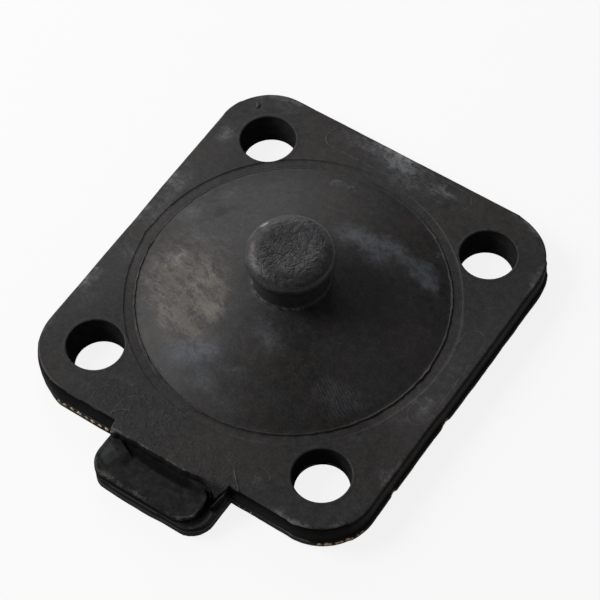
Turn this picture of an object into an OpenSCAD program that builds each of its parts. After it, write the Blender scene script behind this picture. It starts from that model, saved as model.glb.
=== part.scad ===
// Valve diaphragm: a moulded rubber sheet with four bolt holes, a domed centre that ends
// in a push-fit button, a grip tab on one side and one woven ply near the wet face.
// Z points up, out of the bonnet face. Z = 0 is the flat wet face of the flange.
// X and Y run along the bolt pattern, and the tab points to -Y.

/* [Flange] */
// Length of the flange along X
flange_x = 63.8; // [60:0.1:72]
// Length of the flange along Y
flange_y = 69.4; // [66:0.1:78]
// Thickness of the flange
flange_t = 5.2; // [4.4:0.1:7]
// Radius of the four corners, seen from above
corner_r = 9.6; // [7:0.1:12]
// Rounding of the upper edge
top_edge_r = 0.6; // [0.2:0.1:1]
// Rounding of the lower edge
low_edge_r = 0.3; // [0.1:0.05:0.4]

/* [Bolt holes] */
// Distance between bolt holes along X
bolt_x = 44.5; // [44:0.1:46]
// Distance between bolt holes along Y
bolt_y = 49.8; // [49:0.1:52]
// Diameter of the bolt holes
bolt_d = 9.5; // [8:0.1:10]

/* [Clamped ring] */
// Radius of the outer line of the shallow ring
ring_outer_r = 28.1; // [27.5:0.1:28.4]
// Radius where the ring ends and the dome starts
dome_r = 26.3; // [25.5:0.1:26.8]
// Depth of the ring below the flange
ring_depth = 0.25; // [0.1:0.05:0.5]
// Width of the thin moulding fin on the edge of the dome
fin_w = 0.35; // [0.2:0.05:0.6]
// Height of that fin above the flange
fin_h = 0.2; // [0.1:0.05:0.5]

/* [Dome] */
// Height of the dome above the flange, where the button starts
dome_rise = 6.3; // [5:0.1:8]
// Radius of the arc that the side of the dome follows
dome_arc_r = 90; // [60:1:200]
// Radius of the hollow at the wet face
hollow_r = 24.8; // [23:0.1:25]
// Depth of the hollow at its centre
hollow_depth = 7.8; // [6.5:0.1:8.5]
// Width of the sealing bead that crosses the hollow
bead_w = 3.2; // [2:0.1:5]
// Height of that bead
bead_h = 0.7; // [0.4:0.1:1.2]

/* [Button] */
// Radius of the neck
neck_r = 6.3; // [5:0.1:6.5]
// Radius of the low collar at the foot of the neck
collar_r = 6.65; // [6.55:0.05:7.4]
// Height of the collar above the dome
collar_h = 0.3; // [0.1:0.1:0.8]
// Radius of the head
head_r = 7.45; // [7:0.05:9]
// Height of the underside of the head above the flange
head_z = 11.7; // [9:0.1:13]
// Thickness of the head
head_t = 3; // [3:0.1:5]
// Rounding of the upper edge of the head
head_top_round = 2; // [1:0.1:2.2]
// Rounding of the lower edge of the head
head_low_round = 0.7; // [0.3:0.1:0.75]
// Radius of the shallow dish in the top of the head
dish_r = 4.6; // [3:0.1:4.8]
// Depth of that dish
dish_depth = 0.3; // [0.1:0.05:0.6]

/* [Tab] */
// Width of the tab along X
tab_w = 22.6; // [16:0.1:28]
// Length of the tab beyond the flange
tab_l = 8.8; // [7:0.1:12]
// Radius of the outer corners of the tab
tab_corner_r = 4; // [2:0.1:4.2]
// Drop from the flange to the low shoulder of the tab
shoulder_drop = 2.6; // [2:0.1:3.2]
// Drop from the flange to the round-ended pad
pad_drop = 1.8; // [0.8:0.1:1.9]
// Width of the pad
pad_w = 7; // [5:0.1:7.4]
// Distance from the right side of the tab to the end of the pad
pad_end_gap = 1.9; // [1:0.1:4]
// Distance from the front of the tab to the pad
pad_front_gap = 0.25; // [0.1:0.05:0.8]
// Clearance around the pad where the flange drops to it
pad_clear = 0.3; // [0.1:0.05:0.6]
// Length of the raised lug beside the end of the pad
lug_l = 3.8; // [2:0.1:5]

/* [Woven ply] */
// Thickness of the ply
ply_t = 0.7; // [0.4:0.05:0.9]
// Rubber between the wet face and the ply
ply_skin = 0.55; // [0.45:0.05:0.8]
// Rubber between the edge of the ply and the side of the flange
ply_inset = 0.9; // [0.6:0.1:1.5]
// Distance between thread ends that reach the side
thread_pitch = 1.4; // [1.1:0.1:2]
// Thread ends on the front side, counted from the tab to the left
side_threads = 8; // [1:1:9]
// Distance from the tab to the first of them
thread_gap = 1.2; // [0.6:0.1:2]
// Thread ends around the front right corner
corner_threads = 6; // [1:1:6]
// Distance along the right side from the corner to its lone thread end
lone_thread_y = 6.4; // [1:0.1:20]

/* [Hidden] */
$fn = 96;
// Allowance by which a cut runs past the face that it opens
cut = 1;
// How far a raised part reaches into the rubber below it
root = 2;
half_x = flange_x / 2;
half_y = flange_y / 2;
tab_front_y = -half_y - tab_l;
shoulder_z = flange_t - shoulder_drop;
pad_z = flange_t - pad_drop;
pad_r = pad_w / 2;
pad_y = tab_front_y + pad_front_gap + pad_r;
pad_x = tab_w / 2 - pad_end_gap - pad_r;
bolt_r = bolt_d / 2;
// The side of the dome is an arc through its rim and its foot
chord_x = dome_r - collar_r;
chord_l = norm([chord_x, dome_rise]);
arc_reach = sqrt(pow(dome_arc_r, 2) - pow(chord_l / 2, 2));
arc_x = (dome_r + collar_r) / 2 - arc_reach * dome_rise / chord_l;
arc_z = dome_rise / 2 - arc_reach * chord_x / chord_l;
// The hollow is part of a ball with its centre below the wet face
hollow_ball_r = (pow(hollow_r, 2) + pow(hollow_depth, 2)) / (2 * hollow_depth);
hollow_ball_z = hollow_depth - hollow_ball_r;
dish_ball_r = (pow(dish_r, 2) + pow(dish_depth, 2)) / (2 * dish_depth);
head_top_z = flange_t + head_z + head_t;
ply_z = ply_skin + ply_t / 2;
ply_corner_r = corner_r - ply_inset;

// Places something at each bolt hole
module at_bolts() {
    for (x = [-1, 1], y = [-1, 1]) {
        translate([x * bolt_x / 2, y * bolt_y / 2, 0]) children();
    }
}

module bolt_holes() {
    at_bolts() translate([0, 0, -cut]) cylinder(h = flange_t + 2 * cut, r = bolt_r);
}

// Rectangle with round corners, centred
module rounded_rect(x, y, r) {
    square([x - 2 * r, y], center = true);
    square([x, y - 2 * r], center = true);
    for (i = [-1, 1], j = [-1, 1]) {
        translate([i * (x / 2 - r), j * (y / 2 - r)]) circle(r = r);
    }
}

// Half section of a disc with round upper and lower edges, standing on the X axis
module disc_section(r, h, top_r, low_r) {
    translate([0, low_r]) square([r, h - top_r - low_r]);
    square([r - low_r, h - top_r]);
    translate([0, low_r]) square([r - top_r, h - low_r]);
    translate([r - low_r, low_r]) circle(r = low_r);
    intersection() {
        translate([r - top_r, h - top_r]) circle(r = top_r);
        translate([0, h - top_r]) square([r, top_r]);
    }
}

// Full section of a slab with the same round edges
module slab_section(w) {
    half = w / 2;
    disc_section(half, flange_t, top_edge_r, low_edge_r);
    mirror([1, 0]) disc_section(half, flange_t, top_edge_r, low_edge_r);
}

// Flange with its four round corners and its soft edges
module flange_plate() {
    for (x = [-1, 1], y = [-1, 1]) {
        translate([x * (half_x - corner_r), y * (half_y - corner_r), 0])
            rotate_extrude() disc_section(corner_r, flange_t, top_edge_r, low_edge_r);
    }
    rotate([90, 0, 0])
        linear_extrude(height = flange_y - 2 * corner_r, center = true) slab_section(flange_x);
    rotate([90, 0, 90])
        linear_extrude(height = flange_x - 2 * corner_r, center = true) slab_section(flange_y);
}

// Section of the dome: everything under the arc, out to the rim
module dome_section() {
    translate([0, flange_t]) intersection() {
        translate([arc_x, arc_z]) circle(r = dome_arc_r, $fn = 360);
        translate([0, -root]) square([dome_r, dome_rise + 2 * root]);
    }
    // Fin on the rim, left where the two halves of the mould meet
    translate([dome_r - fin_w / 2, flange_t - root]) square([fin_w, root + fin_h]);
}

// Button: collar, neck and rounded head
module button_section() {
    translate([0, flange_t]) {
        square([collar_r, dome_rise + collar_h]);
        square([neck_r, head_z + head_t / 2]);
        translate([0, head_z]) disc_section(head_r, head_t, head_top_round, head_low_round);
    }
}

module button_dish() {
    translate([0, 0, head_top_z + dish_ball_r - dish_depth]) sphere(r = dish_ball_r);
}

// Shallow ring between the dome and the flange
module ring_recess() {
    translate([0, 0, flange_t - ring_depth]) rotate_extrude() {
        translate([dome_r - fin_w, 0]) square([ring_outer_r - dome_r + fin_w, ring_depth + cut]);
    }
}

// Ball that is this much bigger than the hollow and has the same centre
module hollow_ball(extra) {
    translate([0, 0, hollow_ball_z]) sphere(r = hollow_ball_r + extra);
}

// Everything above this height, as wide as the hollow
module above(z) {
    translate([-half_x, -half_y, z]) cube([flange_x, flange_y, flange_t + dome_rise]);
}

// Low bead across the hollow, which presses on the weir of the valve
module weir_bead() {
    intersection() {
        difference() {
            hollow_ball(root / 2);
            hollow_ball(-bead_h);
        }
        translate([-bead_w / 2, -half_y, 0]) cube([bead_w, flange_y, flange_t + dome_rise]);
    }
}

// Outline of the tab, joined to the flange behind it
module tab_outline() {
    translate([0, -half_y - tab_l / 2 + corner_r / 2])
        rounded_rect(tab_w, tab_l + corner_r, tab_corner_r);
}

// Round-ended pad that runs out over the left end of the tab
module pad_outline(extra) {
    translate([pad_x, pad_y]) circle(r = pad_r + extra);
    translate([-tab_w, pad_y - pad_r - extra]) square([tab_w + pad_x, pad_w + 2 * extra]);
}

// Tab: low shoulder, pad, and the lip of the flange behind the pad
module tab() {
    linear_extrude(height = shoulder_z) tab_outline();
    linear_extrude(height = pad_z) intersection() {
        tab_outline();
        pad_outline(0);
    }
    linear_extrude(height = flange_t - top_edge_r / 2) difference() {
        intersection() {
            tab_outline();
            translate([-tab_w / 2, -half_y - lug_l]) square([tab_w, lug_l + corner_r / 2]);
        }
        pad_outline(pad_clear);
    }
}

// Thread ends that reach the side of the flange
module thread_ends() {
    reach = 2 * ply_inset;
    r = ply_t / 2;
    intersection() {
        linear_extrude(height = flange_t) rounded_rect(flange_x, flange_y, corner_r);
        union() {
            for (i = [0 : side_threads - 1]) {
                translate([-tab_w / 2 - thread_gap - i * thread_pitch, -half_y + reach, ply_z])
                    rotate([90, 0, 0]) cylinder(h = reach + cut, r = r);
            }
            for (i = [0 : corner_threads - 1]) {
                turn = -58 + i * thread_pitch / corner_r * 180 / PI;
                translate([half_x - corner_r, -half_y + corner_r, ply_z]) rotate([0, 90, turn])
                    translate([0, 0, corner_r - reach]) cylinder(h = reach + cut, r = r);
            }
            translate([half_x - reach, -half_y + corner_r + lone_thread_y, ply_z])
                rotate([0, 90, 0]) cylinder(h = reach + cut, r = r);
        }
    }
}

// Woven ply: flat in the flange, and domed over the hollow
module fabric_ply() {
    color("tan") difference() {
        union() {
            translate([0, 0, ply_skin]) linear_extrude(height = ply_t)
                rounded_rect(flange_x - 2 * ply_inset, flange_y - 2 * ply_inset, ply_corner_r);
            intersection() {
                hollow_ball(ply_skin + ply_t);
                above(ply_skin);
            }
            thread_ends();
        }
        hollow_ball(ply_skin);
        bolt_holes();
    }
}

// Rubber: one moulding around the ply
module rubber_body() {
    color([0.16, 0.16, 0.16]) difference() {
        union() {
            difference() {
                union() {
                    difference() {
                        flange_plate();
                        ring_recess();
                    }
                    rotate_extrude() dome_section();
                    rotate_extrude() button_section();
                    tab();
                }
                hollow_ball(0);
                button_dish();
            }
            weir_bead();
        }
        bolt_holes();
        fabric_ply();
    }
}

rubber_body();
fabric_ply();
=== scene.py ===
# %% [markdown]
# # A moulded rubber valve diaphragm
# The real object is one black rubber moulding with a woven cotton ply inside it.
# Four bolts clamp its flat flange between the body of a valve and its bonnet, the dome in
# the middle is pushed down to close the valve, and the button on top snaps into the part
# that moves it. The construction model is loaded first and stays as the fixed frame.

# %% Load the frame
import math

import bmesh
import bpy
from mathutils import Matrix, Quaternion, Vector, noise


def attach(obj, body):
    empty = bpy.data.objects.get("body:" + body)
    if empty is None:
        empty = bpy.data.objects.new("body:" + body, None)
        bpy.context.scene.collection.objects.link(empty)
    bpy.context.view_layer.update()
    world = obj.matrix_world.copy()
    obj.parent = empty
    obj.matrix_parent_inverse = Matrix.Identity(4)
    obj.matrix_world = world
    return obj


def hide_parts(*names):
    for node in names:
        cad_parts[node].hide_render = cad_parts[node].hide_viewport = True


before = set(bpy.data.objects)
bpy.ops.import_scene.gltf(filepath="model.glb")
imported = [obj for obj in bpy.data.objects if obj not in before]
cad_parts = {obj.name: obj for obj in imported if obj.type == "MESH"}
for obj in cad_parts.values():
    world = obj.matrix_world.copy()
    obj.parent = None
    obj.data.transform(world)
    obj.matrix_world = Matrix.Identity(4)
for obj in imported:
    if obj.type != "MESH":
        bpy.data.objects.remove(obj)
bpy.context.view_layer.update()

print("nodes:", sorted(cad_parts))

# %% [markdown]
# ## Sizes
# A maker works from a drawing, so every size that the piece needs stands here, in
# millimetres, in the frame of the construction model: X and Y along the bolt pattern, Z up
# out of the bonnet face, the wet face at Z = 0 and the grip tab towards -Y.
# The meshes are built in millimetres too and shrunk to metres once, when they are finished,
# because Blender's tools treat distances under a tenth of a millimetre as the same point.

# %% Sizes in millimetres
MM = 0.001
TOUCHING = 0.001
HALF_X = 31.9
HALF_Y = 34.7
CORNER_R = 9.6
TOP = 5.2
BOLT_X = 22.25
BOLT_Y = 24.9
BOLT_R = 4.75
RING_R = 28.1
RING_FLOOR = TOP - 0.17
DOME_R = 26.3
DOME_EDGE_R = DOME_R - 0.35
DOME_FOOT_R = 6.65
DOME_RISE = 6.3
DOME_ARC_R = 90
HOLLOW_R = 24.8
HOLLOW_DEPTH = 7.8
BEAD_HALF = 1.6
BEAD_HEIGHT = 0.7
RING_CENTRE = Vector((-0.42, 0.42, 0))
BUTTON_CENTRE = Vector((-0.28, 0.2, 0))
BUTTON_LEAN = Vector((0.004, 0.002, 0))
TAB_HALF = 11.3
TAB_FRONT = -43.5
TAB_CORNER_R = 4
SHOULDER = TOP - 2.6
PAD_TOP = TOP - 1.8
print("flange", 2 * HALF_X, "x", 2 * HALF_Y, "mm, tab to", TAB_FRONT)

# %% [markdown]
# ## The camera
# The photograph looks down at the part from beyond its lower right corner with a long lens.
# The view was found by fitting the bolt pattern, the rings and the outline to the picture:
# 57 degrees above the table, 37 degrees round from the tab side, turned 3.5 degrees.

# %% Camera
VIEW_AZIMUTH = math.radians(37.03)
VIEW_ELEVATION = math.radians(56.89)
VIEW_ROLL = math.radians(-3.49)
VIEW_DISTANCE = 387.2
VIEW_TARGET = Vector((0.95, 0.46, TOP))
FOCAL_PIXELS = 2351
FRAME_PIXELS = 600

camera_data = bpy.data.cameras.new("camera")
camera_data.sensor_width = 36
camera_data.lens = FOCAL_PIXELS / FRAME_PIXELS * camera_data.sensor_width
camera_data.clip_start = 0.01
camera = bpy.data.objects.new("camera", camera_data)
bpy.context.scene.collection.objects.link(camera)
back = Vector((
    math.sin(VIEW_AZIMUTH) * math.cos(VIEW_ELEVATION),
    -math.cos(VIEW_AZIMUTH) * math.cos(VIEW_ELEVATION),
    math.sin(VIEW_ELEVATION)))
turn = back.to_track_quat("Z", "Y")
turn.rotate(Quaternion(back, VIEW_ROLL))
camera.rotation_mode = "QUATERNION"
camera.rotation_quaternion = turn
camera.location = (VIEW_TARGET + back * VIEW_DISTANCE) * MM
bpy.context.scene.camera = camera
print("camera at", [round(v / MM, 1) for v in camera.location], "mm")

# %% [markdown]
# ## Small tools
# Most forms are modelled as by hand: add a primitive, go into edit mode, pick faces, edges
# or points by their place, and run an operator on them. These helpers do the picking.

# %% Pick and edit
def start_clean():
    """Leave edit mode and deselect everything, because operators act on all that is selected."""
    if bpy.context.object and bpy.context.object.mode != "OBJECT":
        bpy.ops.object.mode_set(mode="OBJECT")
    bpy.ops.object.select_all(action="DESELECT")


def activate(piece, editing=False):
    """Select one piece, and open it for editing if asked."""
    start_clean()
    piece.select_set(True)
    bpy.context.view_layer.objects.active = piece
    if editing:
        bpy.ops.object.mode_set(mode="EDIT")


def pick(piece, kind, test):
    """Select the points, edges or faces of the open piece whose middle passes a test."""
    modes = {"verts": "VERT", "edges": "EDGE", "faces": "FACE"}
    bpy.ops.mesh.select_mode(type=modes[kind])
    bpy.ops.mesh.select_all(action="DESELECT")
    shape = bmesh.from_edit_mesh(piece.data)
    for item in getattr(shape, kind):
        if kind == "verts":
            middle = item.co
        elif kind == "edges":
            middle = (item.verts[0].co + item.verts[1].co) / 2
        else:
            middle = item.calc_center_median()
        if test(middle, item):
            item.select_set(True)
    shape.select_flush_mode()
    bmesh.update_edit_mesh(piece.data)


# %% Move points, apply modifiers and combine
def shape_points(piece, place):
    """Move each point of a piece to place(point)."""
    start_clean()
    for point in piece.data.vertices:
        point.co = place(point.co.copy())
    piece.data.update()


def apply_modifier(piece, kind, **settings):
    """Give a piece one modifier with its settings, and apply it."""
    activate(piece)
    modifier = piece.modifiers.new(kind.lower(), kind)
    for name, value in settings.items():
        setattr(modifier, name, value)
    bpy.ops.object.modifier_apply(modifier=modifier.name)


def combine(body, tool, operation):
    """Join a tool to the body or cut it away, and remove the tool."""
    apply_modifier(body, "BOOLEAN", operation=operation, solver="MANIFOLD", object=tool)
    bpy.data.objects.remove(tool)


def spun(name, section, steps):
    """Turn a half section, given as (radius, height), once round the Z axis."""
    mesh = bpy.data.meshes.new(name)
    points = [(r, 0, z) for r, z in section]
    mesh.from_pydata(points, [(i, i + 1) for i in range(len(points) - 1)], [])
    piece = bpy.data.objects.new(name, mesh)
    bpy.context.scene.collection.objects.link(piece)
    activate(piece, editing=True)
    bpy.ops.mesh.select_all(action="SELECT")
    bpy.ops.mesh.spin(steps=steps, angle=2 * math.pi, center=(0, 0, 0), axis=(0, 0, 1))
    bpy.ops.mesh.select_all(action="SELECT")
    bpy.ops.mesh.remove_doubles(threshold=0.0005)
    bpy.ops.mesh.normals_make_consistent(inside=False)
    start_clean()
    return piece


# %% Soft numbers and a report
def blend(value, low, high):
    """0 below low, 1 above high, and a soft step between them."""
    t = min(max((value - low) / (high - low), 0), 1)
    return t * t * (3 - 2 * t)


def along(table, value):
    """Read a value between the rows of a short table of (place, amount)."""
    for (a, low), (b, high) in zip(table, table[1:]):
        if value <= b:
            return low + (high - low) * max(value - a, 0) / (b - a)
    return table[-1][1]


def wander(point, size, seed):
    """Smooth seeded unevenness from -1 to 1, with features about size millimetres wide."""
    return noise.noise(Vector(point) / size + Vector((seed * 7.3, seed * 3.1, seed * 5.7)))


def push_out(point, distance):
    """Move a point away from the vertical axis."""
    flat = Vector((point.x, point.y, 0))
    if flat.length < 0.01:
        return point
    return point + flat.normalized() * distance


def report(piece):
    """Print how large a piece is and how many triangles it has."""
    piece.data.calc_loop_triangles()
    size = [round(v, 2) for v in piece.dimensions]
    print(piece.name, size, len(piece.data.loop_triangles), "triangles")


# %% [markdown]
# ## The flange
# The flange is a slab with four round corners that left the mould with soft edges. Its side
# isn't one plain wall: the mould parts near the wet face, so a lower layer steps out by a
# fifth of a millimetre, wanders a little, and is chipped off at two places on one side.
# A cube is beveled to the corner radius, its long edges are divided so that the wall can
# wander, and it is cut into levels that are then set in or out.

# %% The side of the flange
LEVELS = [0.06, 0.2, 0.45, 0.85, 1.2, 1.36, 1.47, 1.62, 2.4, 3.4, 4.2, 4.6, 4.82, 5.0, 5.12]
WALL_INSET = [
    (0, 0.34), (0.06, 0.16), (0.2, 0.05), (0.45, 0), (1.2, 0.01), (1.36, 0.06), (1.47, 0.11),
    (1.62, 0.13), (3.4, 0.05), (4.2, 0.02), (4.6, 0.02), (4.82, 0.06), (5.0, 0.13), (5.12, 0.23),
    (5.2, 0.42)]
EDGE_BEND = [
    (-180, 0.0), (-165, 0.13), (-135, 0.21), (-110, 0.18), (-92, 0.02), (-88, -0.05),
    (-70, -0.12), (-45, -0.12), (-20, -0.05), (0, 0.0), (12, 0.08), (25, 0.1), (45, 0.06),
    (70, 0.14), (85, 0.05), (90, -0.13), (125, -0.13), (175, -0.1), (180, 0.0)]
CHIPS = [(-19.2, 0.8), (-3.9, 1.2)]
PARTING = (1.25, 1.5)


def outward(point):
    """Direction from the core of the slab out through its side."""
    core = Vector((
        min(max(point.x, CORNER_R - HALF_X), HALF_X - CORNER_R),
        min(max(point.y, CORNER_R - HALF_Y), HALF_Y - CORNER_R), point.z))
    away = point - core
    return away.normalized() if away.length > 0.01 else Vector((0, 0, 0))


def flange_wall(point):
    """Set a point of the wall in or out, by its height, its side and its layer."""
    away = outward(point)
    x, y, z = point
    flat = Vector((x, y, 0))
    inset = along(WALL_INSET, z) + 0.05 * wander(flat, 9, 1)

    # The lower layer ends where the mould parts. It is ragged, and two chips of it are gone.
    layer = 1 - blend(z, *PARTING)
    ragged = 0.07 * wander(flat, 3.5, 2) + 0.03 * wander(point, 0.9, 3)
    near_left = max(-away.x, 0) * max(-away.y, 0)
    inset -= layer * (0.03 + ragged + 0.22 * max(away.x, 0) - 0.5 * near_left)
    if away.x > 0.9:
        for middle, half in CHIPS:
            gone = 1 - blend(abs(y - middle), half * 0.7, half)
            inset += layer * gone * (0.24 + 0.1 * wander(point, 0.5, 4))

    # The side with the tab leans in towards its top, and swells over the row of thread ends.
    if away.y < -0.5:
        inset += 0.0045 * x
        by_threads = blend(-x, 10.5, 12) * (1 - blend(-x, 22.5, 26))
        inset += 0.22 * blend(z, 3.2, 5.0)
        inset -= by_threads * (0.1 * (1 - blend(z, 2, 4)) + 0.2 * (1 - blend(z, 0.35, 0.75)))

    # No side is quite straight, and the rim wanders.
    inset += along(EDGE_BEND, math.degrees(math.atan2(away.y, away.x)))
    if away.x > 0.9:
        inset -= 0.2 * blend(y, -8, -2)
    if away.x < -0.9:
        inset -= 0.12 * blend(y, -2, 8) - 0.06 * blend(-y, 6, 16)
    rim = blend(z, 4.5, 5.1)
    inset += rim * 0.025 * (wander(flat, 2.2, 5) + 0.5 * wander(flat, 0.8, 6))
    return point - away * inset


# %% Flange slab
bpy.ops.mesh.primitive_cube_add(size=1, location=(0, 0, TOP / 2))
moulding = bpy.context.object
moulding.name = "rubber_moulding"
moulding.data.name = "rubber_moulding"
moulding.scale = (2 * HALF_X, 2 * HALF_Y, TOP)
bpy.ops.object.transform_apply(location=True, scale=True)
activate(moulding, editing=True)
pick(moulding, "faces", lambda middle, face: abs(face.normal.z) > 0.9)
bpy.ops.mesh.delete(type="FACE")
pick(moulding, "edges", lambda middle, edge: abs(middle.z - TOP / 2) < 0.1)
bpy.ops.mesh.bevel(offset=CORNER_R, segments=26, affect="EDGES")
pick(moulding, "edges", lambda middle, edge: edge.calc_length() > 20)
bpy.ops.mesh.subdivide(number_cuts=89)
for level in LEVELS:
    bpy.ops.mesh.select_all(action="SELECT")
    bpy.ops.mesh.bisect(plane_co=(0, 0, level), plane_no=(0, 0, 1))
shape_points(moulding, flange_wall)
activate(moulding, editing=True)
for height in (0, TOP):
    pick(moulding, "verts", lambda middle, point: abs(middle.z - height) < TOUCHING)
    bpy.ops.mesh.edge_face_add()
bpy.ops.mesh.select_all(action="SELECT")
bpy.ops.mesh.normals_make_consistent(inside=False)
start_clean()
report(moulding)

# %% [markdown]
# ## Witness marks and hole lips
# Inserts in the mould leave their outlines on the flange: a long round-ended mark on three
# of its sides, a small ring beside the tab and an oval nub near the far corner. They are
# ridges a twentieth of a millimetre high, so each is a low bead swept round its outline.
# Three fine flow lines, where streams of rubber met beside the tab, are made the same way.
# The rubber also rose a little against the four pins that form the bolt holes, so a low soft
# collar stands round each place. Collars and marks come before the ring, which cuts them.

# %% Outlines
def stadium(low, high, radius, spacing=0.35):
    """Outline of a round-ended slot between two corners, as (x, y) points."""
    corners = []
    left, right = low[0] + radius, high[0] - radius
    near, far = low[1] + radius, high[1] - radius
    for x, y, start in ((right, far, 0), (left, far, 90), (left, near, 180), (right, near, 270)):
        for step in range(9):
            angle = math.radians(start + 90 * step / 8)
            corners.append((x + radius * math.cos(angle), y + radius * math.sin(angle)))
    corners.append(corners[0])
    points = []
    for a, b in zip(corners, corners[1:]):
        steps = max(1, round(math.dist(a, b) / spacing))
        points += [tuple(p + (q - p) * k / steps for p, q in zip(a, b)) for k in range(steps)]
    return points


def rounded(corners, spacing):
    """Cut a line of corners into short steps, with a Catmull-Rom curve through them."""
    points = []
    ends = [corners[0]] + corners + [corners[-1]]
    for a, b, c, d in zip(ends, ends[1:], ends[2:], ends[3:]):
        steps = max(1, round(math.dist(b, c) / spacing))
        for step in range(steps):
            t = step / steps
            points.append(tuple(
                0.5 * (2 * q + (r - p) * t + (2 * p - 5 * q + 4 * r - s) * t * t
                       + (3 * q - p - 3 * r + s) * t ** 3) for p, q, r, s in zip(a, b, c, d)))
    return points + [corners[-1]]


# %% Low ridges
RIDGE_PROFILE = [(-0.17, -0.35), (-0.17, -0.01), (-0.05, 1), (0.05, 1), (0.17, -0.01),
                 (0.17, -0.35)]


def ridge(name, outline, height, seed, closed=True):
    """A low bead that follows an outline on top of the flange, and fades in places."""
    shape = bmesh.new()
    rings = []
    for index, (x, y) in enumerate(outline):
        last = len(outline) - 1
        before = outline[index - 1] if closed else outline[max(index - 1, 0)]
        after = outline[(index + 1) % len(outline)] if closed else outline[min(index + 1, last)]
        run = Vector((after[0] - before[0], after[1] - before[1])).normalized()
        rise = height * min(max(0.75 + 1.1 * wander((x, y, 0), 3, seed), 0.2), 1.3)
        rings.append([shape.verts.new((x + run.y * offset, y - run.x * offset,
                                       TOP + (z * rise if z > 0 else z)))
                      for offset, z in RIDGE_PROFILE])
    if not closed:
        shape.faces.new(rings[0])
        shape.faces.new(rings[-1])
    for ring, following in zip(rings, rings[1:] + rings[:closed]):
        for k in range(len(ring)):
            m = (k + 1) % len(ring)
            shape.faces.new((ring[k], ring[m], following[m], following[k]))
    bmesh.ops.recalc_face_normals(shape, faces=shape.faces)
    mesh = bpy.data.meshes.new(name)
    shape.to_mesh(mesh)
    shape.free()
    piece = bpy.data.objects.new(name, mesh)
    bpy.context.scene.collection.objects.link(piece)
    return piece


# %% Witness marks
MARKS = [
    (stadium((-14.2, 29.5), (14.4, 33.7), 2.09), 0.07),
    (stadium((27.25, -9.2), (31.0, 11.1), 1.86), 0.07),
    (stadium((-31.05, -4.5), (-27.8, 5.2), 1.6), 0.05),
    (stadium((11.7, -33.25), (16.1, -28.85), 2.19), 0.05)]
FLOW_LINES = [
    [(7.2, -30.3), (8.4, -30.6), (9.6, -31.2), (10.6, -32.1), (11.5, -32.9), (12.3, -33.6),
     (12.9, -34.4)],
    [(-12.2, -34.0), (-12.45, -32.6), (-12.3, -31.2), (-11.9, -30.1), (-11.2, -29.2),
     (-10.2, -28.7), (-9.2, -28.6)],
    [(-12.6, -34.0), (-12.2, -33.4), (-11.5, -32.65), (-10.1, -31.6)]]
for number, (outline, height) in enumerate(MARKS):
    combine(moulding, ridge("mark", outline, height, 60 + number), "UNION")
for number, line in enumerate(FLOW_LINES):
    flow_line = ridge("flow_line", rounded(line, 0.3), 0.1, 66 + number, closed=False)
    combine(moulding, flow_line, "UNION")
start_clean()
bpy.ops.mesh.primitive_uv_sphere_add(segments=24, ring_count=12, radius=1)
nub = bpy.context.object
nub.scale = (0.42, 0.75, 0.3)
nub.location = (-27.95, 30.06, TOP)
nub.rotation_euler = (0, 0, math.radians(35))
bpy.ops.object.transform_apply(location=True, rotation=True, scale=True)
combine(moulding, nub, "UNION")
report(moulding)

# %% Collars round the holes
COLLAR_SECTION = [
    (BOLT_R - 0.4, 4.6), (BOLT_R - 0.4, TOP + 0.05), (BOLT_R + 0.35, TOP + 0.05),
    (BOLT_R + 0.6, TOP + 0.02), (BOLT_R + 0.95, TOP - 0.01), (BOLT_R + 0.95, 4.6),
    (BOLT_R - 0.4, 4.6)]
HOLES = [Vector((x, y, 0)) for x in (-BOLT_X, BOLT_X) for y in (-BOLT_Y, BOLT_Y)]
for number, place in enumerate(HOLES):
    collar = spun("collar", COLLAR_SECTION, 96)
    shape_points(collar, lambda p: push_out(p, 0.12 * wander(p, 3, 70 + number)) + place)
    combine(moulding, collar, "UNION")
report(moulding)

# %% [markdown]
# ## The clamped ring
# Round the dome runs a shallow ring where the bonnet presses. Its outer edge was turned in
# the mould, but the rubber ran a little past it, so the line bulges at one place and jogs at
# another, and the thin lip on it fades at a third. The recess is a short drum whose side
# points are moved by their angle, and the lip is a bead that follows the same line.

# %% Ring recess and its lip
RING_STEPS = 256
RING_LINE = [
    (-15, 0), (5, 0.22), (12, 0.3), (20, 0.22), (26, 0), (150, 0), (181, 0.05), (186, 0.3),
    (188, 0.02), (205, 0), (346, 0)]
LIP_HEIGHT = [
    (-15, 0.3), (0, 0.3), (8, 1.6), (22, 1.5), (35, 0.8), (70, 0.2), (180, 0.2), (200, 0.4),
    (300, 0.8), (335, 0.7), (346, 0.3)]


def angle_of(point):
    """Angle round the ring's own centre in degrees, from -15 to 345."""
    turned = math.degrees(math.atan2(point.y, point.x)) % 360
    return turned - 360 if turned > 345 else turned


def ring_shift(point):
    """How far the outer line of the ring stands out at this angle."""
    flat = (point.x, point.y, 0)
    return (along(RING_LINE, angle_of(point)) + 0.05 * wander(flat, 5, 11)
            + 0.025 * wander(flat, 1.2, 12))


RECESS = [
    (0, RING_FLOOR), (RING_R - 0.6, RING_FLOOR), (RING_R - 0.35, RING_FLOOR + 0.02),
    (RING_R - 0.16, RING_FLOOR + 0.07), (RING_R - 0.02, TOP - 0.04), (RING_R + 0.05, TOP + 0.4),
    (RING_R + 0.05, TOP + 1), (0, TOP + 1)]
LIP = [(RING_R + out, TOP + up) for out, up in (
    (0.02, -0.3), (0.02, 0), (0.08, 0.045), (0.17, 0.04), (0.42, -0.012), (0.45, -0.3),
    (0.02, -0.3))]
recess = spun("recess", RECESS, RING_STEPS)
shape_points(recess, lambda p: push_out(p, ring_shift(p)) + RING_CENTRE)
lip = spun("lip", LIP, RING_STEPS)


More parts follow.
